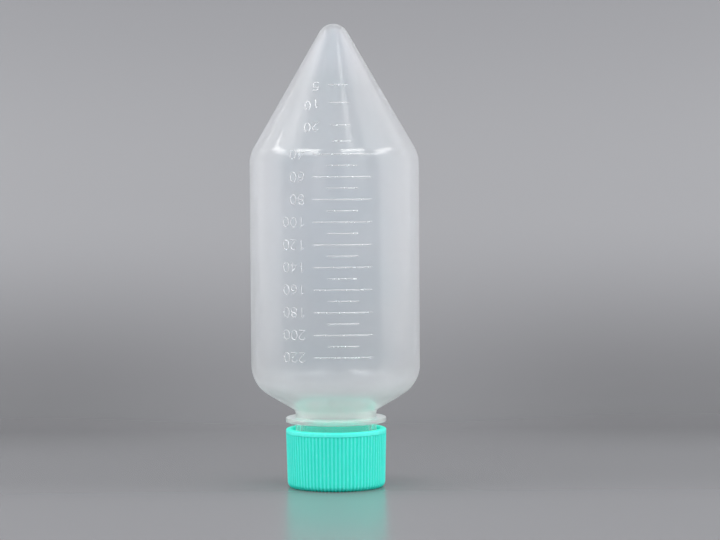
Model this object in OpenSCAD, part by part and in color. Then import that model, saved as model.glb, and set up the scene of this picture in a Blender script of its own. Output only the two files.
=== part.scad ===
// Conical-bottom centrifuge bottle of about 250 ml, standing upside down on its screw cap.
// Millimetres. The origin is the middle of the cap's flat outer face, and +Z is the bottle's
// axis, pointing at the tip of the cone. The graduations face -Y.

/* [Body] */
// Outer diameter of the straight barrel
body_d = 60; // [50:0.5:75]
// Length of the straight barrel, from the end of the shoulder's curve to the cone's corner
barrel_h = 74.6; // [50:0.1:100]
// Full angle of the cone
cone_angle = 60; // [50:1:75]
// Outer radius of the rounded tip
tip_r = 5.7; // [4:0.1:9]
// Radius of the rounded corner between the barrel and the cone
corner_r = 11; // [4:0.5:16]
// Wall of the barrel and the shoulder
wall = 1.4; // [1:0.1:2.2]
// Wall of the cone, thicker because it carries the load in a rotor
cone_wall = 1.7; // [1:0.1:2.6]
// Radius of the curve from the barrel into the shoulder
shoulder_r = 12.2; // [6:0.1:15]
// Slope of the shoulder, in degrees from level
shoulder_slope = 31; // [15:1:45]

/* [Neck] */
// Outer diameter of the neck, without its thread
neck_d = 28.8; // [24:0.1:33]
// Wall of the neck
neck_wall = 1.6; // [1.2:0.1:2.2]
// Length of plain neck between the ring and the shoulder
neck_stub = 2.4; // [1.5:0.1:6]
// Radius of the hollow where the neck meets the shoulder
neck_fillet = 2; // [0.5:0.1:3]
// Length of the neck from the lip to the ring
finish_h = 19.7; // [16:0.1:28]
// How far the ring stands out from the neck
ring_reach = 3.5; // [2:0.1:6]
// Thickness of the ring
ring_t = 1.75; // [1.2:0.05:3]
// Rounding of the ring's two outer edges
ring_edge = 0.5; // [0.2:0.05:0.55]
// Rounding of the lip's edges
lip_edge = 0.4; // [0.2:0.05:0.5]

/* [Thread] */
// Rise of the thread in one turn
thread_pitch = 4.5; // [3.5:0.1:6]
// Height of the ridge above the neck
thread_h = 1.1; // [0.6:0.05:1.4]
// Width of the ridge where it leaves the wall
thread_base = 2.2; // [1.4:0.1:2.6]
// Width of the ridge's crest
thread_crest = 1.0; // [0.5:0.1:1.3]
// Distance from the lip to the middle of the ridge's first end
thread_start = 3; // [2:0.1:4]
// Distance from the ring to the middle of the ridge's other end
thread_end = 7.7; // [7.5:0.1:9]

/* [Cap] */
// Wall of the cap at its open rim
cap_wall = 2.1; // [1.8:0.05:3]
// How much smaller the closed end is than the rim, on the radius
cap_taper = 0.45; // [0:0.05:0.6]
// Rounding of the closed end's edge
cap_edge = 2; // [0.6:0.1:2.4]
// Thickness of the closed end
cap_top = 2; // [1.4:0.1:3]
// Height of the plain band at the rim
band_h = 1.8; // [1:0.1:4]
// Number of grip ribs
rib_count = 80; // [40:1:90]
// Height of a rib
rib_h = 0.3; // [0.15:0.01:0.4]
// Radius of a rib's round section
rib_r = 0.45; // [0.4:0.01:0.6]
// Rounding of the rim's outer edge
rim_edge = 0.5; // [0.2:0.05:0.8]
// Height of the low rim that centres the seal
seat_rim_h = 0.9; // [0.4:0.1:1.2]
// Thickness of the low rim that centres the seal
seat_rim_t = 0.6; // [0.4:0.1:0.8]

/* [Seal] */
// Thickness of the soft sealing ring
seal_t = 1.5; // [1:0.1:2.5]
// How far the sealing ring reaches inside the mouth
seal_inset = 1; // [0.5:0.1:2]

/* [Graduations] */
// Turn of the graduations' middle line from the front, towards +X
scale_turn = 6; // [-20:1:20]
// Length of the long lines, at each 20 ml
tick_long = 20.4; // [10:0.1:26]
// Length of the short lines, at each odd 10 ml
tick_short = 10.5; // [5:0.1:16]
// Length of the lines on the cone
tick_cone = 6.5; // [3:0.1:8]
// Width of a line
tick_w = 0.4; // [0.3:0.05:0.8]
// Height of a line above the wall
tick_h = 0.15; // [0.1:0.01:0.2]

/* [Clearances] */
// Gap between the cap's rim and the ring
ring_gap = 2.3; // [0.6:0.1:4]
// Radial gap between a ridge's crest and the wall facing it
thread_gap = 0.25; // [0.2:0.05:0.5]
// Radial gap between the seal and the low rim that centres it
seal_gap = 0.2; // [0.1:0.05:0.4]

/* [Hidden] */
$fn = 96;
sink = 0.4; // depth to which a ridge, rib or line is set into its wall
arc_step = 5; // degrees between the points of a rounded outline
thread_step = 10; // degrees between the sections of a ridge
thread_runout = 40; // degrees over which a ridge fades at each end

half_cone = cone_angle / 2;
body_r = body_d / 2;
bore_r = body_r - wall;
neck_r = neck_d / 2;
mouth_r = neck_r - neck_wall;
ring_r = neck_r + ring_reach;

// heights above the cap's outer face
lip_z = cap_top + seal_t;
ring_z = lip_z + finish_h;
cap_h = ring_z - ring_gap;
root_z = ring_z + ring_t + neck_stub;
shoulder_z = root_z + (body_r - shoulder_r - neck_r) * tan(shoulder_slope)
    + shoulder_r / cos(shoulder_slope);
corner_z = shoulder_z + barrel_h;
apex_z = corner_z + body_r / tan(half_cone);
tip_mid_z = apex_z - tip_r / sin(half_cone);
bend_z = fillet_z(corner_z, corner_r, half_cone);

// the same for the inside
inner_apex_z = apex_z - cone_wall / sin(half_cone);
inner_tip_r = tip_r - cone_wall;
inner_corner_z = inner_apex_z - bore_r / tan(half_cone);
inner_corner_r = corner_r - wall;
inner_fillet = neck_fillet + wall;
inner_root_z = root_z + wall / cos(shoulder_slope) - neck_wall * tan(shoulder_slope);

// mating sizes of the cap and the seal
cap_bore_r = neck_r + thread_h + thread_gap;
cap_ridge_r = neck_r + thread_gap;
rim_r = cap_bore_r + cap_wall;
end_r = rim_r - cap_taper;
band_z = cap_h - band_h;
thread_z = lip_z + thread_start;
thread_turns = (finish_h - thread_start - thread_end) / thread_pitch;
seal_r = neck_r - lip_edge / 2;
seat_r = seal_r + seal_gap;

// contents, in cubic millimetres, of the cone above its tip and up to the corner
cone_k = PI * pow(tan(half_cone), 2) / 3;
tip_rest = inner_tip_r * (1 / sin(half_cone) - sin(half_cone));
tip_loss = cone_k * pow(tip_rest, 3)
    - PI * pow(inner_tip_r * (1 - sin(half_cone)), 2) * inner_tip_r * (2 + sin(half_cone)) / 3;
cone_volume = cone_k * pow(bore_r / tan(half_cone), 3) - tip_loss;
barrel_volume = cone_volume + PI * bore_r * bore_r * (inner_corner_z - shoulder_z);
scale_max = 20 * floor(barrel_volume / 20000);

// points of an arc about [x, z]
function arc(x, z, r, from, to) =
    let (n = max(2, ceil(abs(to - from) / arc_step)))
    [for (i = [0:n]) let (a = from + (to - from) * i / n) [x + r * cos(a), z + r * sin(a)]];

// height at which the upright bottle holds this many ml
function level_z(ml) = ml * 1000 <= cone_volume
    ? inner_apex_z - pow((ml * 1000 + tip_loss) / cone_k, 1 / 3)
    : inner_corner_z - (ml * 1000 - cone_volume) / (PI * bore_r * bore_r);

// height of a fillet's middle, below the height where its two lines meet
function fillet_z(z, r, turn) = z - r * tan(turn / 2);

// radius and lean of the outside at a height above the shoulder
function outside(z) = z < bend_z ? [body_r, 0]
    : z > bend_z + corner_r * sin(half_cone) ? [(apex_z - z) * tan(half_cone), half_cone]
    : let (lean = asin((z - bend_z) / corner_r)) [body_r - corner_r * (1 - cos(lean)), lean];

// share of a ridge's full height at this angle along it
function fade(a, total) = min(1, a / thread_runout, (total - a) / thread_runout);

// A right-hand ridge of trapezium section from radius r_wall to r_crest, about the Z axis
module ridge(r_wall, r_crest, turns, z) {
    total = 360 * turns;
    n = round(total / thread_step);
    side = sign(r_crest - r_wall);
    points = [for (i = [0:n])
        let (
            a = total * i / n,
            k = fade(a, total),
            back = r_wall - side * sink,
            crest = r_wall + (r_crest - r_wall) * k - side * sink / 2 * (1 - k),
            mid = z + thread_pitch * a / 360
        )
        for (p = [
            [back, -thread_base / 2], [crest, -thread_crest / 2],
            [crest, thread_crest / 2], [back, thread_base / 2]
        ]) [p[0] * cos(a), p[0] * sin(a), mid + p[1]]
    ];
    walls = [for (i = [0:n - 1], j = [0:3])
        let (a = 4 * i + j, b = 4 * i + (j + 1) % 4)
        side > 0 ? [a, b, b + 4, a + 4] : [a, a + 4, b + 4, b]
    ];
    ends = side > 0
        ? [[3, 2, 1, 0], [4 * n, 4 * n + 1, 4 * n + 2, 4 * n + 3]]
        : [[0, 1, 2, 3], [4 * n + 3, 4 * n + 2, 4 * n + 1, 4 * n]];
    polyhedron(points, concat(walls, ends));
}

// The bottle's wall in section
module bottle_section() {
    polygon(concat(
        arc(neck_r - lip_edge, lip_z + lip_edge, lip_edge, -90, 0),
        [[neck_r, ring_z]],
        arc(ring_r - ring_edge, ring_z + ring_edge, ring_edge, -90, 0),
        arc(ring_r - ring_edge, ring_z + ring_t - ring_edge, ring_edge, 0, 90),
        [[neck_r, ring_z + ring_t]],
        arc(neck_r + neck_fillet, fillet_z(root_z, neck_fillet, 90 - shoulder_slope),
            neck_fillet, 180, 90 + shoulder_slope),
        arc(body_r - shoulder_r, shoulder_z, shoulder_r, shoulder_slope - 90, 0),
        arc(body_r - corner_r, bend_z, corner_r, 0, half_cone),
        arc(0, tip_mid_z, tip_r, half_cone, 90),
        arc(0, tip_mid_z, inner_tip_r, 90, half_cone),
        arc(bore_r - inner_corner_r, fillet_z(inner_corner_z, inner_corner_r, half_cone),
            inner_corner_r, half_cone, 0),
        arc(body_r - shoulder_r, shoulder_z, shoulder_r - wall, 0, shoulder_slope - 90),
        arc(mouth_r + inner_fillet, fillet_z(inner_root_z, inner_fillet, 90 - shoulder_slope),
            inner_fillet, 90 + shoulder_slope, 180),
        arc(mouth_r + lip_edge, lip_z + lip_edge, lip_edge, 180, 270)
    ));
}

// One raised graduation line on the outside, at the height of this many ml
module tick(ml) {
    z = level_z(ml);
    place = outside(z);
    size = place[1] == half_cone ? tick_cone : ml % 20 == 0 ? tick_long : tick_short;
    sweep = size / place[0] * 180 / PI;
    rotate([0, 0, scale_turn - 90 - sweep / 2])
        rotate_extrude(angle = sweep)
            translate([place[0], z])
                rotate(place[1])
                    translate([-sink, -tick_w / 2])
                        square([sink + tick_h, tick_w]);
}

// The cap's outline and inside in section, without its ribs
module cap_section() {
    polygon(concat(
        [[0, 0]],
        arc(end_r - rib_h - cap_edge, cap_edge, cap_edge, -90, 0),
        [[rim_r - rib_h, band_z], [rim_r, band_z + rib_h]],
        arc(rim_r - rim_edge, cap_h - rim_edge, rim_edge, 0, 90),
        [
            [cap_bore_r + rim_edge / 2, cap_h], [cap_bore_r, cap_h - rim_edge / 2],
            [cap_bore_r, cap_top], [seat_r + seat_rim_t, cap_top],
            [seat_r + seat_rim_t, cap_top + seat_rim_h], [seat_r, cap_top + seat_rim_h],
            [seat_r, cap_top], [0, cap_top]
        ]
    ));
}

// One round grip rib that follows the slope of the cap's side
module rib() {
    rise = band_z + rib_h / 2;
    translate([end_r - rib_r, 0, 0])
        rotate([0, atan(cap_taper / rise), 0])
            cylinder(r = rib_r, h = rise);
}

// All the ribs, cut slantwise where they run out into the rounded edge
module ribs() {
    intersection() {
        union() for (i = [0:rib_count - 1]) rotate([0, 0, 360 * i / rib_count - 90]) rib();
        cylinder(r1 = end_r - cap_edge / 2, r2 = end_r - cap_edge / 2 + cap_h, h = cap_h);
    }
}

module bottle() {
    color([0.86, 0.89, 0.9]) {
        rotate_extrude() bottle_section();
        ridge(neck_r, neck_r + thread_h, thread_turns, thread_z);
        for (ml = [5, 10, 20, 30, each [40:10:scale_max]]) tick(ml);
    }
}

module cap() {
    color([0.2, 0.83, 0.73]) {
        rotate_extrude() cap_section();
        ribs();
        ridge(cap_bore_r, cap_ridge_r, thread_turns, thread_z + thread_pitch / 2);
    }
}

module seal() {
    color([0.93, 0.93, 0.91])
        translate([0, 0, cap_top])
            difference() {
                cylinder(r = seal_r, h = seal_t);
                translate([0, 0, -1]) cylinder(r = mouth_r - seal_inset, h = seal_t + 2);
            }
}

bottle();
cap();
seal();
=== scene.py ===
import math

import bpy
from mathutils import Euler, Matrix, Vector


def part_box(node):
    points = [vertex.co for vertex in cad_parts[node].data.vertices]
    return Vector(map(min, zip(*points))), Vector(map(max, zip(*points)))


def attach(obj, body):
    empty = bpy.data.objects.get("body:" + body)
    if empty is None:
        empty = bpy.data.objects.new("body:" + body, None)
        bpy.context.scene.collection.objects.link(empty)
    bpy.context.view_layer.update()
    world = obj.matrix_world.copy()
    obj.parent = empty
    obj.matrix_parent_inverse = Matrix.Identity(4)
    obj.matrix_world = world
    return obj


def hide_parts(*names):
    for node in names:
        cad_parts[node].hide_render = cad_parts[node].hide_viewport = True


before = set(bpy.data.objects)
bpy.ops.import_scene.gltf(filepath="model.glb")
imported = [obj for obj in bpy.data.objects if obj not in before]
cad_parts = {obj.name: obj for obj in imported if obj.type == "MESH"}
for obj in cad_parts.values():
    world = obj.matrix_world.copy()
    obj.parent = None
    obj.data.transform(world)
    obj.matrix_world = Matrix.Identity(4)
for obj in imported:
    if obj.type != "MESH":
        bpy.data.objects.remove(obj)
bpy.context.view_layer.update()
mm = 0.001
tiny = 1e-6  # closer than this counts as the same, in mm or radians

bottleLow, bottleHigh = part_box("bottle")
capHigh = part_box("cap")[1]
sealLow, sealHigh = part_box("seal")


def oval(x, y, rx, ry, start=0, end=360, step=24, least=4):
    count = max(least, math.ceil(abs(end - start) / step))
    turns = [math.radians(start + (end - start) * i / count) for i in range(count + 1)]
    return [(x + rx * math.cos(a), y + ry * math.sin(a)) for a in turns]


def arc(x, z, r, start, end, step=6):
    return oval(x, z, r, r, start, end, step, least=2)


def evenLine(a, b, spacing):  # the points between a and b, without either end
    count = max(1, round(math.dist(a, b) / spacing))
    return [(a[0] + (b[0] - a[0]) * i / count, a[1] + (b[1] - a[1]) * i / count)
            for i in range(1, count)]


def joined(*stretches, spacing=4):  # stretches of outline, with even points along the gaps
    path = []
    for stretch in stretches:
        if path:
            path += evenLine(path[-1], stretch[0], spacing)
        path += stretch
    return path


def linked(name, data):
    obj = bpy.data.objects.new(name, data)
    bpy.context.scene.collection.objects.link(obj)
    return obj


def shown(name, mesh, sharpAngle=40):
    mesh.shade_smooth()
    mesh.set_sharp_from_angle(angle=math.radians(sharpAngle))
    return linked(name, mesh)


def fromFaces(name, points, faces):
    mesh = bpy.data.meshes.new(name)
    mesh.from_pydata(points, [], faces)
    return shown(name, mesh)


def wire(name, points, edges, label, values):  # bare lines, with one number at each point
    mesh = bpy.data.meshes.new(name)
    mesh.from_pydata(points, edges, [])
    mesh.attributes.new(label, "FLOAT", "POINT").data.foreach_set("value", values)
    return linked(name, mesh)


def turned(name, outline, columns, push=None, closed=False):
    # outline is (radius, height) in mm, walked with the material on its right-hand side
    points, rings = [], []
    for radius, height in outline:
        if radius < tiny:
            rings.append([len(points)])
            points.append((0, 0, height * mm))
            continue
        rings.append(list(range(len(points), len(points) + columns)))
        for j in range(columns):
            angle = 2 * math.pi * j / columns
            r = push(radius, height, angle) if push else radius
            points.append((r * mm * math.cos(angle), r * mm * math.sin(angle), height * mm))
    faces = []
    pairs = list(zip(rings, rings[1:])) + ([(rings[-1], rings[0])] if closed else [])
    for upper, lower in pairs:
        for j in range(columns):
            k = (j + 1) % columns
            if len(upper) == 1:
                faces.append((upper[0], lower[j], lower[k]))
            elif len(lower) == 1:
                faces.append((upper[j], lower[0], upper[k]))
            else:
                faces.append((upper[j], lower[j], lower[k], upper[k]))
    return fromFaces(name, points, faces)


thread = {
    "pitch": 4.5,
    "height": 1.1,
    "base": 2.2,
    "crest": 1.0,
    "turns": 2,
    "firstEnd": 3.0,  # above the lip
    "runout": 40,  # degrees
}


def threadShare(angle, height, start):  # how much of the ridge stands at this place, 0 to 1
    best = 0
    total = 360 * thread["turns"]
    for lap in range(-1, thread["turns"] + 1):
        along = math.degrees(angle) + 360 * lap
        if not 0 <= along <= total:
            continue
        away = abs(height - start - thread["pitch"] * along / 360)
        flank = (thread["base"] - thread["crest"]) / 2
        share = min(1, max(0, (thread["base"] / 2 - away) / flank))
        fade = min(1, along / thread["runout"], (total - along) / thread["runout"])
        best = max(best, share * fade)
    return best * best * (3 - 2 * best)  # rounds the foot and the crest


bottle = {
    "neckRadius": 14.4,
    "neckWall": 1.6,
    "wall": 1.4,
    "coneWall": 1.7,
    "finish": 19.7,  # lip to ring
    "ringReach": 3.5,
    "ringThickness": 1.75,
    "ringEdge": 0.5,
    "ringRoot": 0.35,
    "lipEdge": 0.4,
    "stub": 2.4,  # plain neck between the ring and the shoulder
    "neckFillet": 2.0,
    "shoulderSlope": 31,
    "shoulderRadius": 12.2,
    "barrel": 74.6,
    "cornerRadius": 11.0,
    "halfCone": 30,
    "tipRadius": 5.7,
    "columns": 144,
}

bodyR = bottleHigh.x / mm
boreR = bodyR - bottle["wall"]
neckR = bottle["neckRadius"]
mouthR = neckR - bottle["neckWall"]
ringR = neckR + bottle["ringReach"]
lipZ = bottleLow.z / mm
ringZ = lipZ + bottle["finish"]
ringTopZ = ringZ + bottle["ringThickness"]
rootZ = ringTopZ + bottle["stub"]
slope = math.radians(bottle["shoulderSlope"])
halfCone = math.radians(bottle["halfCone"])
shoulderZ = (rootZ + (bodyR - bottle["shoulderRadius"] - neckR) * math.tan(slope)
             + bottle["shoulderRadius"] / math.cos(slope))
cornerZ = shoulderZ + bottle["barrel"]
apexZ = cornerZ + bodyR / math.tan(halfCone)
tipMidZ = apexZ - bottle["tipRadius"] / math.sin(halfCone)
bendZ = cornerZ - bottle["cornerRadius"] * math.tan(halfCone / 2)
innerApexZ = apexZ - bottle["coneWall"] / math.sin(halfCone)
innerTipR = bottle["tipRadius"] - bottle["coneWall"]
innerCornerZ = innerApexZ - boreR / math.tan(halfCone)
innerCornerR = bottle["cornerRadius"] - bottle["wall"]
innerBendZ = innerCornerZ - innerCornerR * math.tan(halfCone / 2)
innerFillet = bottle["neckFillet"] + bottle["wall"]
innerRootZ = rootZ + bottle["wall"] / math.cos(slope) - bottle["neckWall"] * math.tan(slope)
threadZ = lipZ + thread["firstEnd"]


def filletZ(z, r):  # height of the middle of the hollow where the neck meets the shoulder
    return z - r * math.tan((math.pi / 2 - slope) / 2)


def bottleOutline():
    b = bottle
    tilt = b["shoulderSlope"]
    edge, root, lip = b["ringEdge"], b["ringRoot"], b["lipEdge"]
    outside = joined(
        arc(0, tipMidZ, b["tipRadius"], 90, b["halfCone"]),
        arc(bodyR - b["cornerRadius"], bendZ, b["cornerRadius"], b["halfCone"], 0, 3),
        arc(bodyR - b["shoulderRadius"], shoulderZ, b["shoulderRadius"], 0, tilt - 90, 4),
        arc(neckR + b["neckFillet"], filletZ(rootZ, b["neckFillet"]), b["neckFillet"],
            90 + tilt, 180, 10),
    )
    ring = joined(
        arc(neckR + root, ringTopZ + root, root, 180, 270, 30),
        arc(ringR - edge, ringTopZ - edge, edge, 90, 0, 18),
        arc(ringR - edge, ringZ + edge, edge, 0, -90, 18),
        arc(neckR + root, ringZ - root, root, 90, 180, 30),
        spacing=1,
    )
    finish = joined(ring, arc(neckR - lip, lipZ + lip, lip, 0, -90, 18), spacing=0.3)
    inside = joined(
        arc(mouthR + lip, lipZ + lip, lip, 270, 180, 18),
        arc(mouthR + innerFillet, filletZ(innerRootZ, innerFillet), innerFillet,
            180, 90 + tilt, 10),
        arc(bodyR - b["shoulderRadius"], shoulderZ, b["shoulderRadius"] - b["wall"],
            tilt - 90, 0, 4),
        arc(boreR - innerCornerR, innerBendZ, innerCornerR, 0, b["halfCone"], 3),
        arc(0, tipMidZ, innerTipR, b["halfCone"], 90),
    )
    outside[0], inside[-1] = (0, outside[0][1]), (0, inside[-1][1])
    return joined(outside, finish) + inside


def neckThread(radius, height, angle):
    if abs(radius - neckR) > tiny or height > ringZ:
        return radius
    return radius + thread["height"] * threadShare(angle, height, threadZ)


print("stage: the bottle's wall")
bottleWall = turned("bottleWall", bottleOutline(), bottle["columns"], neckThread)


marks = {
    "turn": 6,  # degrees from the front, towards +X
    "coneLevels": [5, 10, 20, 30],  # ml of each line on the cone
    "firstOnBarrel": 40,
    "lineEvery": 10,
    "numberEvery": 20,
    "longLine": 20.4,
    "shortLine": 10.5,
    "coneLine": 6.5,
    "strokeRadius": 0.22,
    "numberRadius": 0.2,
    "proud": 0.15,
    "numberHeight": 3.3,
    "numberStep": 3.0,
    "numberWidth": 2.35,
    "barrelNumbers": -10.4,  # arc from the front to the numbers' nearer edge
    "coneNumbers": -5.0,
    "strokeSides": 8,
    "bendStep": 1.0,  # spacing of the points along a line
}

mlVolume = 1000  # cubic mm
coneShare = math.pi * math.tan(halfCone) ** 2 / 3  # volume of the cone for a height of one
tipRest = innerTipR * (1 / math.sin(halfCone) - math.sin(halfCone))
tipLoss = (coneShare * tipRest ** 3  # what the rounded tip takes off a pointed cone
           - math.pi * (innerTipR * (1 - math.sin(halfCone))) ** 2
           * innerTipR * (2 + math.sin(halfCone)) / 3)
coneVolume = coneShare * (boreR / math.tan(halfCone)) ** 3 - tipLoss
barrelVolume = coneVolume + math.pi * boreR ** 2 * (innerCornerZ - shoulderZ)
scaleTop = marks["numberEvery"] * math.floor(barrelVolume / (marks["numberEvery"] * mlVolume))


def levelZ(ml):  # height to which the upright bottle is filled by this many ml
    if ml * mlVolume <= coneVolume:
        return innerApexZ - ((ml * mlVolume + tipLoss) / coneShare) ** (1 / 3)
    return innerCornerZ - (ml * mlVolume - coneVolume) / (math.pi * boreR ** 2)


def wallAt(z):  # radius and lean of the outside at a height above the shoulder
    if z < bendZ:
        return bodyR, 0
    if z > bendZ + bottle["cornerRadius"] * math.sin(halfCone):
        return (apexZ - z) * math.tan(halfCone), halfCone
    lean = math.asin((z - bendZ) / bottle["cornerRadius"])
    return bodyR - bottle["cornerRadius"] * (1 - math.cos(lean)), lean


# strokes of each digit in a box one wide and one high
digitStrokes = {
    "0": [oval(0.5, 0.5, 0.46, 0.5)],
    "1": [[(0.18, 0.78), (0.5, 1), (0.5, 0)]],
    "2": [oval(0.5, 0.72, 0.44, 0.28, 170, -35) + [(0.05, 0), (0.95, 0)]],
    "4": [[(0.95, 0.28), (0.02, 0.28), (0.72, 1), (0.72, 0)]],
    "5": [[(0.88, 1), (0.18, 1), (0.12, 0.56)] + oval(0.48, 0.33, 0.45, 0.33, 125, -150)],
    "6": [oval(0.5, 0.31, 0.45, 0.31), oval(0.95, 0.31, 0.9, 0.69, 180, 100)],
    "8": [oval(0.5, 0.75, 0.36, 0.25), oval(0.5, 0.26, 0.45, 0.26)],
}


def onCone(x, z):  # a point of a flat drawing, once the drawing is wrapped round the cone
    down = (apexZ - z) / math.cos(halfCone)
    away = math.hypot(x, down)
    radius = away * math.sin(halfCone)
    return math.atan2(x, down) / math.sin(halfCone) * radius, apexZ - away * math.cos(halfCone)


def markLine(ml, z, radius, onTheCone):
    if onTheCone:
        length = marks["coneLine"]
    elif ml % marks["numberEvery"] == 0:
        length = marks["longLine"]
    else:
        length = marks["shortLine"]
    middle = radius * math.radians(marks["turn"])
    start, end = (middle - length / 2, z), (middle + length / 2, z)
    return [start] + evenLine(start, end, marks["bendStep"]) + [end]


def markNumber(ml, z, lean, onTheCone):  # reads the right way up with the bottle on its tip
    edge = marks["coneNumbers"] if onTheCone else marks["barrelNumbers"]
    tall = marks["numberHeight"] * math.cos(lean)
    strokes = []
    for place, digit in enumerate(str(ml)):
        right = edge - marks["numberStep"] * place
        for stroke in digitStrokes[digit]:
            path = [(right - x * marks["numberWidth"], z + (0.5 - y) * tall) for x, y in stroke]
            strokes.append([onCone(x, z) for x, z in path] if onTheCone else path)
    return strokes


def flatMarks():  # lines and numbers as (arc length from the front, height)
    first, lines, numbers = marks["firstOnBarrel"], [], []
    levels = marks["coneLevels"] + list(range(first, scaleTop + 1, marks["lineEvery"]))
    numbered = marks["coneLevels"][:-1] + list(range(first, scaleTop + 1, marks["numberEvery"]))
    for ml in levels:
        z = levelZ(ml)
        radius, lean = wallAt(z)
        onTheCone = lean > halfCone - tiny
        lines.append(markLine(ml, z, radius, onTheCone))
        if ml in numbered:
            numbers += markNumber(ml, z, lean, onTheCone)
    return lines, numbers


def strokeWires(name, polylines):
    points, edges, wall = [], [], []
    for line in polylines:
        first = len(points)
        points += [(x * mm, 0, z * mm) for x, z in line]
        wall += [wallAt(z)[0] * mm for x, z in line]
        edges += [(first + i, first + i + 1) for i in range(len(line) - 1)]
    return wire(name, points, edges, "wall", wall)


def fill(tree, socket, value):  # links another node's output, or sets a plain value
    if isinstance(value, bpy.types.NodeSocket):
        tree.links.new(value, socket)
    else:
        socket.default_value = value


def addNode(tree, kind, settings=None, *inOrder, **byName):
    node = tree.nodes.new(kind)
    for key, value in (settings or {}).items():
        setattr(node, key, value)
    for socket, value in zip(node.inputs, inOrder):
        fill(tree, socket, value)
    for label, value in byName.items():
        fill(tree, node.inputs[label.replace("_", " ")], value)
    return node


def sums(tree, operation, *values):
    return addNode(tree, "ShaderNodeMath", {"operation": operation}, *values).outputs[0]


def ranged(tree, value, low, high, first=0.0, last=1.0, ease="SMOOTHSTEP"):
    return addNode(tree, "ShaderNodeMapRange", {"interpolation_type": ease}, Value=value,
                   From_Min=low, From_Max=high, To_Min=first, To_Max=last).outputs[0]


def newGroup(name, kind, inputs, outputs):
    group = bpy.data.node_groups.new(name, kind)
    for label, socketKind, value in inputs:
        socket = group.interface.new_socket(label, in_out="INPUT", socket_type=socketKind)
        if value is not None:
            socket.default_value = value
    for label, socketKind in outputs:
        group.interface.new_socket(label, in_out="OUTPUT", socket_type=socketKind)
    given = group.nodes.new("NodeGroupInput").outputs
    return group, given, group.nodes.new("NodeGroupOutput").inputs


def newShapeTree(name, inputs):
    return newGroup(name, "GeometryNodeTree", [("Geometry", "NodeSocketGeometry", None)] + inputs,
                    [("Geometry", "NodeSocketGeometry")])


def endShapeTree(tree, shape, given, result):
    real = addNode(tree, "GeometryNodeRealizeInstances", Geometry=shape.outputs[0])
    finished = addNode(tree, "GeometryNodeSetMaterial", Geometry=real.outputs[0],
                       Material=given["Finish"])
    tree.links.new(finished.outputs[0], result["Geometry"])
    return tree


def swept(tree, curve, sides, radius):
    section = addNode(tree, "GeometryNodeCurvePrimitiveCircle", Resolution=sides, Radius=radius)
    return addNode(tree, "GeometryNodeCurveToMesh", Curve=curve.outputs[0],
                   Profile_Curve=section.outputs[0], Fill_Caps=True)


def baked(obj, tree, values):  # runs the tree on obj once and keeps the plain mesh
    modifier = obj.modifiers.new(tree.name, "NODES")
    modifier.node_group = tree
    for item in tree.interface.items_tree:
        if item.in_out == "INPUT" and item.name in values:
            modifier[item.identifier] = values[item.name]
    graph = bpy.context.evaluated_depsgraph_get()
    mesh = bpy.data.meshes.new_from_object(obj.evaluated_get(graph), depsgraph=graph)
    obj.modifiers.remove(modifier)
    name = obj.name
    bpy.data.objects.remove(obj)
    mesh.name = name
    mesh.materials.clear()  # the tree can leave an empty slot before its finish
    mesh.materials.append(values["Finish"])
    mesh.polygons.foreach_set("material_index", [0] * len(mesh.polygons))
    return shown(name, mesh)


def wrapTree():
    tree, given, result = newShapeTree("wrapStrokesOnWall", [
        ("Stroke Radius", "NodeSocketFloat", 0.0002),
        ("Proud", "NodeSocketFloat", 0.00015),
        ("Sides", "NodeSocketInt", 8),
        ("Finish", "NodeSocketMaterial", None),
    ])
    wall = addNode(tree, "GeometryNodeInputNamedAttribute", {"data_type": "FLOAT"}, Name="wall")
    flat = addNode(tree, "GeometryNodeInputPosition")
    place = addNode(tree, "ShaderNodeSeparateXYZ", Vector=flat.outputs[0])
    angle = sums(tree, "DIVIDE", place.outputs["X"], wall.outputs[0])
    sunk = sums(tree, "SUBTRACT", given["Stroke Radius"], given["Proud"])
    radius = sums(tree, "SUBTRACT", wall.outputs[0], sunk)
    x = sums(tree, "MULTIPLY", radius, sums(tree, "SINE", angle))
    y = sums(tree, "MULTIPLY", radius, sums(tree, "COSINE", angle))
    wrapped = addNode(tree, "ShaderNodeCombineXYZ", X=x, Y=sums(tree, "MULTIPLY", y, -1.0),
                      Z=place.outputs["Z"])
    curve = addNode(tree, "GeometryNodeMeshToCurve", Mesh=given["Geometry"])
    moved = addNode(tree, "GeometryNodeSetPosition", Geometry=curve.outputs[0],
                    Position=wrapped.outputs[0])
    return endShapeTree(tree, swept(tree, moved, given["Sides"], given["Stroke Radius"]),
                        given, result)


def ribTree():
    tree, given, result = newShapeTree("ribsRoundAxis", [
        ("Count", "NodeSocketInt", 80),
        ("Rib Radius", "NodeSocketFloat", 0.00045),
        ("Sides", "NodeSocketInt", 12),
        ("Finish", "NodeSocketMaterial", None),
    ])
    thick = addNode(tree, "GeometryNodeInputNamedAttribute", {"data_type": "FLOAT"}, Name="thick")
    path = addNode(tree, "GeometryNodeMeshToCurve", Mesh=given["Geometry"])
    tapered = addNode(tree, "GeometryNodeSetCurveRadius", Curve=path.outputs[0],
                      Radius=thick.outputs[0])
    rib = swept(tree, tapered, given["Sides"], given["Rib Radius"])
    places = addNode(tree, "GeometryNodeMeshLine", Count=given["Count"], Offset=Vector((0, 0, 0)))
    step = sums(tree, "DIVIDE", 2 * math.pi, given["Count"])
    turn = sums(tree, "MULTIPLY", addNode(tree, "GeometryNodeInputIndex").outputs[0], step)
    rotation = addNode(tree, "ShaderNodeCombineXYZ", Z=turn)
    placed = addNode(tree, "GeometryNodeInstanceOnPoints", Points=places.outputs[0],
                     Instance=rib.outputs[0], Rotation=rotation.outputs[0])
    return endShapeTree(tree, placed, given, result)


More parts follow.
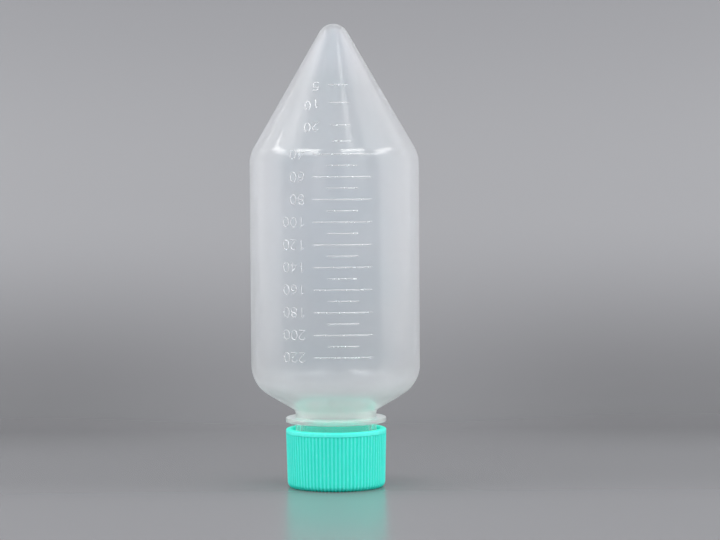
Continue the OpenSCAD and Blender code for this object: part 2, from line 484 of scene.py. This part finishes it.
mouldedSkin = {
    "detail": {"Grain": 2.0, "Wave": 1.0, "Streak": 2.0, "Scuff": 4.0},
    "heightShare": 0.03,  # the streaks change this much more slowly along the axis
    "waveLimits": (0.3, 0.7),
    "scuffLimits": (0.5, 0.75),
    "unevenShare": 0.2,  # how much the waves and streaks change the roughness
}


def mouldedSkinGroup(v):
    # the skin of a moulded plastic: fine grain, slow waves from cooling, streaks drawn along the
    # axis, and dull spots from handling
    group, given, result = newGroup("mouldedSkin", "ShaderNodeTree", [
        ("Vector", "NodeSocketVector", None),
        ("Grain Scale", "NodeSocketFloat", 2500.0),
        ("Grain Height", "NodeSocketFloat", 0.1),
        ("Wave Scale", "NodeSocketFloat", 60.0),
        ("Streak Scale", "NodeSocketFloat", 300.0),
        ("Streak Height", "NodeSocketFloat", 0.5),
        ("Scuff Scale", "NodeSocketFloat", 600.0),
        ("Scuff Amount", "NodeSocketFloat", 0.1),
        ("Roughness", "NodeSocketFloat", 0.3),
    ], [
        ("Roughness", "NodeSocketFloat"),
        ("Height", "NodeSocketFloat"),
        ("Wave", "NodeSocketFloat"),
        ("Scuff", "NodeSocketFloat"),
    ])

    def noise(label, vector=given["Vector"]):
        return addNode(group, "ShaderNodeTexNoise", Vector=vector, Scale=given[label + " Scale"],
                       Detail=v["detail"][label]).outputs["Fac"]

    drawn = addNode(group, "ShaderNodeVectorMath", {"operation": "MULTIPLY"}, given["Vector"],
                    Vector((1.0, 1.0, v["heightShare"]))).outputs[0]
    grain = noise("Grain")
    wave = ranged(group, noise("Wave"), *v["waveLimits"])
    streak = ranged(group, noise("Streak", drawn), *v["waveLimits"])
    scuff = ranged(group, noise("Scuff"), *v["scuffLimits"])
    mark = sums(group, "MULTIPLY", scuff, given["Scuff Amount"])
    uneven = sums(group, "MULTIPLY", sums(group, "ADD", wave, streak), given["Roughness"])
    rough = sums(group, "ADD", sums(group, "MULTIPLY", uneven, v["unevenShare"]),
                 given["Roughness"])
    rough = sums(group, "ADD", rough, mark)
    height = sums(group, "ADD", wave, sums(group, "MULTIPLY", streak, given["Streak Height"]))
    height = sums(group, "ADD", height, sums(group, "MULTIPLY", grain, given["Grain Height"]))
    for label, value in (("Roughness", rough), ("Height", height), ("Wave", wave),
                         ("Scuff", scuff)):
        group.links.new(value, result[label])
    return group


skinGroup = mouldedSkinGroup(mouldedSkin)


def newMaterial(name):
    material = bpy.data.materials.new(name)
    material.use_nodes = True
    tree = material.node_tree
    tree.nodes.clear()
    output = tree.nodes.new("ShaderNodeOutputMaterial")
    place = tree.nodes.new("ShaderNodeTexCoord").outputs["Object"]
    return material, tree, output, place


def skinIn(tree, place, values):
    node = addNode(tree, "ShaderNodeGroup", {"node_tree": skinGroup}, Vector=place)
    for label, value in values.items():
        node.inputs[label].default_value = value
    return node


def tint(tree, factor, first, second):
    node = addNode(tree, "ShaderNodeMix", {"data_type": "RGBA"}, factor)
    for socket, colour in ((node.inputs[6], first), (node.inputs[7], second)):
        fill(tree, socket, (*colour, 1) if isinstance(colour, tuple) else colour)
    return node.outputs[2]


def plasticShader(tree, skin, colour, v, **more):
    bump = addNode(tree, "ShaderNodeBump", Strength=v["bump"], Distance=v["bumpDepth"],
                   Height=skin.outputs["Height"])
    return addNode(tree, "ShaderNodeBsdfPrincipled", Base_Color=colour,
                   Roughness=skin.outputs["Roughness"], Normal=bump.outputs[0],
                   Subsurface_Weight=v["subsurface"], Subsurface_Scale=v["subsurfaceDepth"],
                   **more).outputs[0]


def clearWhere(tree, share, shader, output):  # see-through where share is 1
    clear = tree.nodes.new("ShaderNodeBsdfTransparent").outputs[0]
    mix = addNode(tree, "ShaderNodeMixShader", None, share, shader, clear)
    tree.links.new(mix.outputs[0], output.inputs["Surface"])


clearPlastic = {
    "clear": (0.825, 0.87, 0.985),
    "milky": (0.785, 0.84, 0.955),
    # painted green light from the cap, on the plastic by the neck
    "paintedCapLight": (0.92, 0.99, 0.965),
    "edgeOn": (0.94, 0.965, 0.995),
    "edgeBlend": 0.35,
    "transmission": 0.78,
    "ior": 1.06,
    "coat": 1.0,
    "coatIor": 1.75,
    "coatRoughness": 0.06,
    "sheen": 0.5,
    "sheenRoughness": 0.4,
    "sheenTint": (0.92, 0.96, 1.0, 1),
    "body": 0.43,  # how much plastic the sight meets square on
    "neckBody": 0.15,
    "shoulderBody": 0.95,
    "tipBody": 0.66,
    "edgeBody": 0.9,
    "subsurface": 1.0,
    "subsurfaceDepth": 0.003,
    "forward": 0.5,  # how much the light inside the wall keeps its way
    "bump": 0.06,
    "bumpDepth": 0.0002,
    "lampShare": 0.9,
    "skin": {"Grain Scale": 1800.0, "Grain Height": 0.02, "Wave Scale": 45.0,
             "Streak Scale": 260.0, "Streak Height": 0.25, "Scuff Scale": 700.0,
             "Scuff Amount": 0.03, "Roughness": 0.3},
}

frostedPlastic = {
    "clear": (0.93, 0.95, 0.97),
    "milky": (0.90, 0.92, 0.94),
    # painted light from the cap, here the same as the plain colour
    "paintedCapLight": (0.93, 0.95, 0.97),
    "edgeOn": (0.965, 0.98, 0.99),
    "edgeBlend": 0.35,
    "transmission": 0.75,
    "ior": 1.49,
    "coat": 0.0,
    "coatIor": 1.5,
    "coatRoughness": 0.1,
    "sheen": 0.0,
    "sheenRoughness": 0.4,
    "sheenTint": (0.92, 0.96, 1.0, 1),
    "body": 1.0,
    "neckBody": 1.0,
    "shoulderBody": 1.0,
    "tipBody": 1.0,
    "edgeBody": 1.0,
    "subsurface": 0.6,
    "subsurfaceDepth": 0.001,
    "forward": 0.0,
    "bump": 0.05,
    "bumpDepth": 0.0001,
    "lampShare": 0.85,
    "skin": {"Grain Scale": 3000.0, "Grain Height": 0.2, "Wave Scale": 90.0,
             "Streak Scale": 500.0, "Streak Height": 0.2, "Scuff Scale": 900.0,
             "Scuff Amount": 0.06, "Roughness": 0.2},
}

# where the clear plastic changes, as heights in mm
shoulderFade = (shoulderZ - 14, shoulderZ + 1)
tipFade = (tipMidZ - 20, tipMidZ)
ringFade = (ringZ - 0.1, ringZ + 0.1)
# heights over which the painted light from the cap fades out
paintedCapLightZone = (rootZ, shoulderZ + 4)
edgeFade = (0.3, 1.0)  # how far from square on the wall is seen


def overHeight(tree, place, limits, first, last):
    height = addNode(tree, "ShaderNodeSeparateXYZ", Vector=place).outputs["Z"]
    return ranged(tree, height, limits[0] * mm, limits[1] * mm, first, last)


def plasticBody(tree, place, facing, v):
    # how much plastic the sight meets: more where the wall is thick, near the neck and at the tip,
    # and more where the wall is seen edge on
    body = overHeight(tree, place, shoulderFade, v["shoulderBody"], v["body"])
    body = overHeight(tree, place, tipFade, body, v["tipBody"])
    body = overHeight(tree, place, ringFade, v["neckBody"], body)
    return ranged(tree, facing, *edgeFade, body, v["edgeBody"])


def clearPlasticMaterial(name, v):
    material, tree, output, place = newMaterial(name)
    skin = skinIn(tree, place, v["skin"])
    colour = tint(tree, skin.outputs["Wave"], v["clear"], v["milky"])
    # a wall seen edge on is thicker, so it looks paler
    facing = addNode(tree, "ShaderNodeLayerWeight", Blend=v["edgeBlend"]).outputs["Facing"]
    colour = tint(tree, facing, colour, v["edgeOn"])
    # painted light: the thick plastic by the neck is painted paler and green, standing in for the
    # cap's light that comes up through it
    colour = tint(tree, overHeight(tree, place, paintedCapLightZone, 1.0, 0.0), colour, v["paintedCapLight"])
    plastic = plasticShader(
        tree, skin, colour, v,
        IOR=v["ior"],
        Transmission_Weight=v["transmission"],
        Alpha=plasticBody(tree, place, facing, v),
        Coat_Weight=v["coat"],
        Coat_Roughness=v["coatRoughness"],
        Coat_IOR=v["coatIor"],
        Sheen_Weight=v["sheen"],
        Sheen_Roughness=v["sheenRoughness"],
        Sheen_Tint=v["sheenTint"],
        Subsurface_Radius=(1.0, 1.0, 1.0),
        Subsurface_Anisotropy=v["forward"],
    )
    # lamp rays go partly through, so that the inside and the floor behind are lit
    lampRay = tree.nodes.new("ShaderNodeLightPath").outputs["Is Shadow Ray"]
    clearWhere(tree, sums(tree, "MULTIPLY", lampRay, v["lampShare"]), plastic, output)
    return material


print("stage: the bottle's plastic")
bottleWall.data.materials.append(clearPlasticMaterial("clearPlastic", clearPlastic))
frostedFinish = clearPlasticMaterial("frostedPlastic", frostedPlastic)

print("stage: graduations")
lineStrokes, numberStrokes = flatMarks()
wrapStrokes = wrapTree()
strokeSizes = {"Proud": marks["proud"] * mm, "Sides": marks["strokeSides"],
               "Finish": frostedFinish}
graduationLines = baked(strokeWires("graduationLines", lineStrokes), wrapStrokes,
                        {"Stroke Radius": marks["strokeRadius"] * mm, **strokeSizes})
graduationNumbers = baked(strokeWires("graduationNumbers", numberStrokes), wrapStrokes,
                          {"Stroke Radius": marks["numberRadius"] * mm, **strokeSizes})


cap = {
    "wall": 2.1,
    "taper": 0.45,
    "edge": 2.0,
    "band": 1.8,
    "rimEdge": 0.5,
    "floorEdge": 0.4,
    "seatHeight": 0.9,
    "seatThickness": 0.6,
    "sealGap": 0.2,
    "ribCount": 80,
    "ribHeight": 0.3,
    "ribRadius": 0.45,
    "ribSides": 12,
    "ribStep": 2.5,  # spacing of the points along a rib
    # a rib's thin end: degrees round the cap's lower edge, and the share of its full thickness
    "ribEnd": [(-62, 0.35), (-48, 0.62), (-34, 0.83), (-20, 0.95), (-8, 1.0)],
    "columns": 160,
}

greenPlastic = {
    # painted shade in the grooves between the ribs, and a painted highlight on their crests
    "paintedGrooveShade": (0.018, 0.815, 0.640),
    "crest": (0.080, 0.865, 0.755),
    "worn": (0.190, 0.890, 0.810),
    "wear": 0.5,
    "subsurface": 0.25,
    "subsurfaceDepth": 0.002,
    "subsurfaceRadius": (0.4, 1.0, 0.9),
    "ior": 1.5,
    "bump": 0.25,
    "bumpDepth": 0.0001,
    "skin": {"Grain Scale": 2600.0, "Grain Height": 0.3, "Wave Scale": 140.0,
             "Streak Scale": 600.0, "Streak Height": 0.2, "Scuff Scale": 900.0,
             "Scuff Amount": 0.05, "Roughness": 0.34},
}

capZ = capHigh.z / mm
rimR = capHigh.x / mm
capBoreR = rimR - cap["wall"]
capFloorZ = sealLow.z / mm
wallLowR = rimR - cap["taper"] - cap["ribHeight"]
wallHighR = rimR - cap["ribHeight"]
bandZ = capZ - cap["band"]
seatR = sealHigh.x / mm + cap["sealGap"]
capThreadZ = threadZ + thread["pitch"] / 2


def capOutline():
    edge, rim, foot = cap["edge"], cap["rimEdge"], cap["floorEdge"]
    seatTopZ = capFloorZ + cap["seatHeight"]
    seatOutR = seatR + cap["seatThickness"]
    inside = joined(
        [(0, capFloorZ), (seatR, capFloorZ)],
        [(seatR, seatTopZ), (seatOutR, seatTopZ)],
        [(seatOutR, capFloorZ), (capBoreR - foot, capFloorZ)],
    )
    bore = joined([(capBoreR, capFloorZ + foot)],
                  [(capBoreR, capZ - rim / 2), (capBoreR + rim / 2, capZ)], spacing=0.3)
    outside = joined(
        arc(rimR - rim, capZ - rim, rim, 90, 0, 18),
        [(rimR, bandZ + cap["ribHeight"]), (wallHighR, bandZ)],
        arc(wallLowR - edge, edge, edge, 0, -90, 10),
        [(0, 0)],
    )
    return inside + bore + outside


def capThread(radius, height, angle):
    if abs(radius - capBoreR) > tiny:
        return radius
    return radius - thread["height"] * threadShare(angle, height, capThreadZ)


def ribWire():
    # the middle line of one rib, and its thickness, from the rounded edge up to the band
    sunk = cap["ribRadius"] - cap["ribHeight"]
    edge = cap["edge"]
    low = [(wallLowR - edge + (edge - sunk) * math.cos(math.radians(a)),
            edge + (edge - sunk) * math.sin(math.radians(a))) for a, share in cap["ribEnd"]]
    start = (wallLowR - sunk, edge)
    high = (wallHighR - sunk, bandZ + cap["ribHeight"] / 2)
    path = low + [start] + evenLine(start, high, cap["ribStep"]) + [high]
    thick = [share for a, share in cap["ribEnd"]] + [1.0] * (len(path) - len(low))
    return wire("capRibs", [(0, -r * mm, z * mm) for r, z in path],
                [(i, i + 1) for i in range(len(path) - 1)], "thick", thick)


def greenPlasticMaterial(v):
    material, tree, output, place = newMaterial("greenPlastic")
    skin = skinIn(tree, place, v["skin"])
    # how far a place stands out of the wall between the ribs, 0 to 1
    split = addNode(tree, "ShaderNodeSeparateXYZ", Vector=place)
    flat = addNode(tree, "ShaderNodeCombineXYZ", X=split.outputs["X"], Y=split.outputs["Y"])
    radius = addNode(tree, "ShaderNodeVectorMath", {"operation": "LENGTH"},
                     Vector=flat.outputs[0]).outputs["Value"]
    lean = (wallHighR - wallLowR) / (bandZ - cap["edge"])
    wall = sums(tree, "ADD", sums(tree, "MULTIPLY", split.outputs["Z"], lean),
                (wallLowR - cap["edge"] * lean) * mm)
    crest = ranged(tree, sums(tree, "SUBTRACT", radius, wall), 0.0, cap["ribHeight"] * mm,
                   ease="LINEAR")
    # painted light: the crests are painted lighter and the grooves darker
    colour = tint(tree, crest, v["paintedGrooveShade"], v["crest"])
    # the crests wear first
    wear = sums(tree, "MULTIPLY", sums(tree, "MULTIPLY", crest, v["wear"]), skin.outputs["Scuff"])
    colour = tint(tree, wear, colour, v["worn"])
    plastic = plasticShader(tree, skin, colour, v, IOR=v["ior"],
                            Subsurface_Radius=v["subsurfaceRadius"])
    tree.links.new(plastic, output.inputs["Surface"])
    return material


print("stage: cap")
greenFinish = greenPlasticMaterial(greenPlastic)
capBody = turned("capBody", capOutline(), cap["columns"], capThread)
capBody.data.materials.append(greenFinish)
capRibs = baked(ribWire(), ribTree(), {
    "Count": cap["ribCount"], "Rib Radius": cap["ribRadius"] * mm, "Sides": cap["ribSides"],
    "Finish": greenFinish})


seal = {
    "edge": 0.15,
    "inset": 1.0,  # how far it reaches in past the bottle's mouth
    "columns": 120,
}

softRing = {
    "colour": (0.84, 0.84, 0.80),
    "dusty": (0.78, 0.77, 0.72),
    "subsurface": 0.3,
    "subsurfaceDepth": 0.001,
    "bump": 0.3,
    "bumpDepth": 0.0001,
    "skin": {"Grain Scale": 3500.0, "Grain Height": 0.4, "Wave Scale": 220.0,
             "Streak Scale": 800.0, "Streak Height": 0.1, "Scuff Scale": 1200.0,
             "Scuff Amount": 0.08, "Roughness": 0.5},
}


def sealOutline():
    low, high = sealLow.z / mm, sealHigh.z / mm
    outR, inR = sealHigh.x / mm, mouthR - seal["inset"]
    e = seal["edge"]
    return joined(
        arc(outR - e, high - e, e, 90, 0, 30),
        arc(outR - e, low + e, e, 0, -90, 30),
        arc(inR + e, low + e, e, 270, 180, 30),
        arc(inR + e, high - e, e, 180, 90, 30),
        spacing=0.8,
    )


def softRingMaterial(v):
    material, tree, output, place = newMaterial("softRing")
    skin = skinIn(tree, place, v["skin"])
    colour = tint(tree, skin.outputs["Wave"], v["colour"], v["dusty"])
    tree.links.new(plasticShader(tree, skin, colour, v), output.inputs["Surface"])
    return material


print("stage: seal")
sealRing = turned("sealRing", sealOutline(), seal["columns"], closed=True)
sealRing.data.materials.append(softRingMaterial(softRing))


# the floor sweeps up into the backdrop, and its colour changes over the places named Band, in
# metres: painted shade darkens the back of the floor and more so its far ends, and painted light
# makes the backdrop paler low down and dimmer higher up
studio = {
    "floorFront": -1.6,
    "flatStops": (-0.4, 0),  # more points on the floor, so that the bend leaves its shading flat
    "floorBack": 0.19,
    "bend": 0.35,
    "bendSteps": 24,
    "wallTop": 1.6,
    "halfWidth": 2.2,
    "floor": (0.183, 0.185, 0.197),
    # painted shade on the back of the floor
    "paintedDimShade": (0.150, 0.152, 0.162),
    "corner": (0.108, 0.109, 0.116),  # painted shade at the ends where the floor meets the backdrop
    # painted light low on the backdrop, painted dimmer again in the high band
    "bright": (0.275, 0.278, 0.295),
    "high": (0.235, 0.238, 0.255),
    "paintedShadeBand": (-0.045, 0.03),
    "asideBand": (0.02, 0.14),
    "backBand": (0.09, 0.19),
    "brightBand": (-0.02, 0.09),
    "highBand": (0.11, 0.25),
    "floorRoughness": 0.25,
}


def sweepMesh():
    s = studio
    profile = [(y, 0) for y in (s["floorFront"], *s["flatStops"], s["floorBack"])]
    for i in range(1, s["bendSteps"] + 1):
        a = math.radians(90 * i / s["bendSteps"])
        profile.append((s["floorBack"] + s["bend"] * math.sin(a), s["bend"] * (1 - math.cos(a))))
    profile.append((profile[-1][0], s["wallTop"]))
    points = [(x, y, z) for y, z in profile for x in (-s["halfWidth"], s["halfWidth"])]
    faces = [(2 * i, 2 * i + 1, 2 * i + 3, 2 * i + 2) for i in range(len(profile) - 1)]
    return fromFaces("floorSweep", points, faces)


def floorMaterial():
    s = studio
    material, tree, output, place = newMaterial("floorFinish")
    split = addNode(tree, "ShaderNodeSeparateXYZ", Vector=place)
    aside = sums(tree, "ABSOLUTE", split.outputs["X"])
    # painted shade at the back of the floor, darker towards its ends
    paintedBackShade = tint(tree, ranged(tree, aside, *s["asideBand"]), s["paintedDimShade"], s["corner"])
    colour = s["floor"]
    # painted shade and painted light over the bands
    for axis, band, after in (("Y", "paintedShadeBand", s["paintedDimShade"]), ("Y", "backBand", paintedBackShade),
                              ("Z", "brightBand", s["bright"]), ("Z", "highBand", s["high"])):
        colour = tint(tree, ranged(tree, split.outputs[axis], *s[band]), colour, after)
    paint = addNode(tree, "ShaderNodeBsdfPrincipled", Base_Color=colour,
                    Roughness=s["floorRoughness"])
    # the backdrop is clear from behind, so that the object can be looked at from all round
    behind = tree.nodes.new("ShaderNodeNewGeometry").outputs["Backfacing"]
    clearWhere(tree, behind, paint.outputs[0], output)
    return material


print("stage: studio")
sweep = sweepMesh()
sweep.data.materials.append(floorMaterial())

# each lamp is a tilted soft box that faces the object: its direction from the object in degrees
# from the front towards +X, its rise, its distance, its size and how bright it is
lamps = {
    "leftSide": {"turn": -102, "rise": 22, "away": 0.62, "size": (0.68, 0.90), "glow": 1.1},
    "rightSide": {"turn": 95, "rise": 22, "away": 0.62, "size": (0.80, 0.90), "glow": 1.1},
    "leftHigh": {"turn": -93, "rise": 35, "away": 0.95, "size": (0.42, 0.14), "glow": 7},
    "leftUpper": {"turn": -90, "rise": 45, "away": 0.95, "size": (0.28, 0.12), "glow": 1.2},
    "leftFront": {"turn": -42, "rise": 43, "away": 0.95, "size": (0.50, 0.18), "glow": 9.5},
    "rightFront": {"turn": 31, "rise": 45, "away": 0.95, "size": (0.48, 0.18), "glow": 9.5},
    "leftLow": {"turn": -20, "rise": 14, "away": 0.80, "size": (0.23, 0.40), "glow": 0.8},
    "rightLow": {"turn": 28, "rise": 14, "away": 0.80, "size": (0.46, 0.40), "glow": 0.8},
    "rightUpper": {"turn": 34, "rise": 58, "away": 0.95, "size": (0.11, 0.16), "glow": 1.8},
    "rightHigh": {"turn": 82, "rise": 36, "away": 0.95, "size": (0.45, 0.14), "glow": 7},
}
lampAim = Vector((0, 0, 0.10))
lampColour = (1.0, 0.985, 0.95)


def makeLamp(name, v):
    data = bpy.data.lights.new(name, "AREA")
    data.shape = "RECTANGLE"
    data.size, data.size_y = v["size"]
    data.energy = v["glow"] * math.pi * data.size * data.size_y
    data.color = lampColour
    turn, rise = math.radians(v["turn"]), math.radians(v["rise"])
    aside = Vector((math.sin(turn) * math.cos(rise), -math.cos(turn) * math.cos(rise),
                    math.sin(rise)))
    obj = linked(name, data)
    obj.location = lampAim + aside * v["away"]
    obj.rotation_euler = aside.to_track_quat("Z", "Y").to_euler()
    obj.visible_camera = False
    obj.visible_transmission = False


for lampName, lamp in lamps.items():
    makeLamp(lampName, lamp)

room = {
    "light": (0.97, 0.98, 1.0),
    "seen": (0.33, 0.333, 0.35),  # what the eye sees past the backdrop
    "strength": 0.92,
}


def makeRoom(v):
    world = bpy.data.worlds.new("softRoom")
    world.use_nodes = True
    tree = world.node_tree
    rays = tree.nodes.new("ShaderNodeLightPath").outputs
    seen = sums(tree, "MAXIMUM", rays["Is Camera Ray"], rays["Is Glossy Ray"])
    seen = sums(tree, "MAXIMUM", seen, rays["Is Transmission Ray"])
    background = tree.nodes["Background"].inputs
    fill(tree, background["Color"], tint(tree, seen, v["light"], v["seen"]))
    fill(tree, background["Strength"], v["strength"])
    bpy.context.scene.world = world


makeRoom(room)

camera = {
    "side": 0.0089,
    "distance": 0.850,
    "height": 0.112,
    "down": 2.347,
    "roll": -0.40,
    "lens": 119.6,
    "sensor": 36,
    "nearest": 0.01,
}


def makeCamera(v):
    data = bpy.data.cameras.new("camera")
    data.lens = v["lens"]
    data.sensor_width = v["sensor"]
    data.clip_start = v["nearest"]
    obj = linked("camera", data)
    obj.location = (v["side"], -v["distance"], v["height"])
    facing = Euler((math.radians(90 - v["down"]), 0, 0)).to_matrix()
    rolled = Euler((0, 0, math.radians(v["roll"]))).to_matrix()
    obj.rotation_euler = (facing @ rolled).to_euler()
    bpy.context.scene.camera = obj


makeCamera(camera)
bpy.context.scene.view_settings.view_transform = "Standard"

print("stage: bodies")
for piece, body, slotName in (
    (bottleWall, "bottle", "clear_plastic"),
    (graduationLines, "bottle", "clear_plastic"),
    (graduationNumbers, "bottle", "clear_plastic"),
    (capBody, "cap", "green_plastic"),
    (capRibs, "cap", "green_plastic"),
    (sealRing, "seal", "soft_ring"),
):
    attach(piece, body)
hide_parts("bottle")
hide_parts("cap")
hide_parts("seal")
